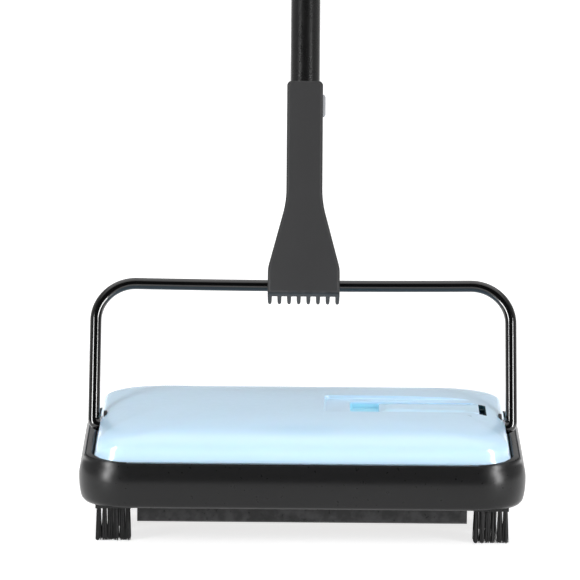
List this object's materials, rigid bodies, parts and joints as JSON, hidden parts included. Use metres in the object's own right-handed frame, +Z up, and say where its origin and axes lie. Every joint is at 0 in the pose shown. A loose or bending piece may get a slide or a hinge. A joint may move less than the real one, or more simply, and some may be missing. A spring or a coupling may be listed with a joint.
{
  "type": "carpet sweeper",
  "caption": "Manual carpet sweeper with a friction-driven brush roller, twin dust pans, sliding dirt release, wire bail, jointed pole and a clip-on bristle comb.",
  "frame": {"origin": "on the floor, at the middle of the bounding box; the sweeper's body is centred 195 mm in front of it (towards -Y) because the handle leans back", "axes": "+Z up, X along the brush roller with +X to the right seen from the front, -Y is the front; the handle leans back towards +Y"},
  "size_m": [0.3, 0.5908, 0.9093],
  "materials": {
    "base_black": "satin black moulded plastic",
    "cover_blue": "smooth glossy light blue moulded plastic",
    "slider_blue": "smooth light blue moulded plastic",
    "inner_grey": "plain grey moulded plastic",
    "steel": "bright drawn steel",
    "roller_wood": "bare turned wood",
    "bristle_black": "black nylon bristle",
    "rubber_black": "matte black rubber",
    "bail_black": "gloss black coated steel wire",
    "pole_black": "semi-gloss black coated steel tube",
    "grip_black": "black ribbed plastic",
    "comb_grey": "matte dark grey moulded plastic"
  },
  "bodies": {
    "base": {"base_frame": "base_black", "top_cover": "cover_blue", "cover_screw_front_left": "steel", "cover_screw_front_right": "steel", "cover_screw_rear_left": "steel", "cover_screw_rear_right": "steel", "corner_brush_holder_front_left": "base_black", "corner_brush_holder_front_right": "base_black", "corner_brush_holder_rear_left": "base_black", "corner_brush_holder_rear_right": "base_black", "corner_bristles_front_left": "bristle_black", "corner_bristles_front_right": "bristle_black", "corner_bristles_rear_left": "bristle_black", "corner_bristles_rear_right": "bristle_black", "wheel_axle_front_left": "steel", "wheel_axle_front_right": "steel", "wheel_axle_rear_left": "steel", "wheel_axle_rear_right": "steel", "roller_bush_left": "inner_grey", "roller_bush_right": "inner_grey", "bail_bush_left": "inner_grey", "bail_bush_right": "inner_grey", "pan_rod_front": "steel", "pan_rod_rear": "steel"},
    "handle": {"bail": "bail_black", "bail_clip_left": "steel", "bail_clip_right": "steel", "pole_lower": "pole_black", "pole_middle": "pole_black", "pole_upper": "pole_black", "pole_rivet": "steel", "grip": "grip_black", "grip_cap": "base_black"},
    "comb": {"comb": "comb_grey"},
    "comb_button": {"comb_button": "inner_grey"},
    "roller": {"roller_core": "roller_wood", "roller_axle": "steel", "bristle_strip_1": "bristle_black", "bristle_strip_2": "bristle_black", "bristle_strip_3": "bristle_black", "bristle_strip_4": "bristle_black", "friction_drum_left": "rubber_black", "friction_drum_right": "rubber_black"},
    "slider": {"release_slider": "slider_blue", "release_bar": "inner_grey"},
    "pan_front": {"dust_pan_front": "base_black", "pan_spring_front": "steel"},
    "pan_rear": {"dust_pan_rear": "base_black", "pan_spring_rear": "steel"},
    "wheel_front_left": {"wheel_hub_front_left": "inner_grey", "tyre_front_left": "rubber_black"},
    "wheel_front_right": {"wheel_hub_front_right": "inner_grey", "tyre_front_right": "rubber_black"},
    "wheel_rear_left": {"wheel_hub_rear_left": "inner_grey", "tyre_rear_left": "rubber_black"},
    "wheel_rear_right": {"wheel_hub_rear_right": "inner_grey", "tyre_rear_right": "rubber_black"}
  },
  "joints": [
    {"name": "bail_swing", "type": "hinge", "parent": "base", "child": "handle", "pos_m": [0, -0.19545, 0.062], "axis": [1, 0, 0], "range_deg": [-52, 112]},
    {"name": "brush_spin", "type": "hinge", "parent": "base", "child": "roller", "pos_m": [0, -0.19545, 0.031], "axis": [1, 0, 0], "continuous": true},
    {"name": "wheel_spin_front_left", "type": "hinge", "parent": "base", "child": "wheel_front_left", "pos_m": [-0.1246, -0.22958, 0.022], "axis": [1, 0, 0], "continuous": true},
    {"name": "wheel_spin_front_right", "type": "hinge", "parent": "base", "child": "wheel_front_right", "pos_m": [0.1246, -0.22958, 0.022], "axis": [1, 0, 0], "continuous": true},
    {"name": "wheel_spin_rear_left", "type": "hinge", "parent": "base", "child": "wheel_rear_left", "pos_m": [-0.1246, -0.16132, 0.022], "axis": [1, 0, 0], "continuous": true},
    {"name": "wheel_spin_rear_right", "type": "hinge", "parent": "base", "child": "wheel_rear_right", "pos_m": [0.1246, -0.16132, 0.022], "axis": [1, 0, 0], "continuous": true},
    {"name": "release_slide", "type": "slide", "parent": "base", "child": "slider", "axis": [-1, 0, 0], "range_m": [0, 0.014], "stiffness_N_per_m": 400, "springref_m": -0.008},
    {"name": "pan_front_hinge", "type": "hinge", "parent": "base", "child": "pan_front", "pos_m": [0, -0.27945, 0.029], "axis": [1, 0, 0], "range_deg": [-50, 0]},
    {"name": "pan_rear_hinge", "type": "hinge", "parent": "base", "child": "pan_rear", "pos_m": [0, -0.11145, 0.029], "axis": [1, 0, 0], "range_deg": [0, 50]},
    {"name": "comb_pull", "type": "slide", "parent": "handle", "child": "comb", "axis": [0, -0.866, 0.5], "range_m": [0, 0.06]},
    {"name": "comb_button_press", "type": "slide", "parent": "comb", "child": "comb_button", "axis": [-1, 0, 0], "range_m": [0, 0.0015], "stiffness_N_per_m": 300, "springref_m": -0.001}
  ],
  "couplings": [
    {"joint": "wheel_spin_front_left", "follows": "brush_spin", "ratio": -0.59091},
    {"joint": "wheel_spin_front_right", "follows": "brush_spin", "ratio": -0.59091},
    {"joint": "wheel_spin_rear_left", "follows": "brush_spin", "ratio": -0.59091},
    {"joint": "wheel_spin_rear_right", "follows": "brush_spin", "ratio": -0.59091},
    {"joint": "pan_front_hinge", "follows": "release_slide", "rad_per_m": -62.3},
    {"joint": "pan_rear_hinge", "follows": "release_slide", "rad_per_m": 62.3}
  ]
}
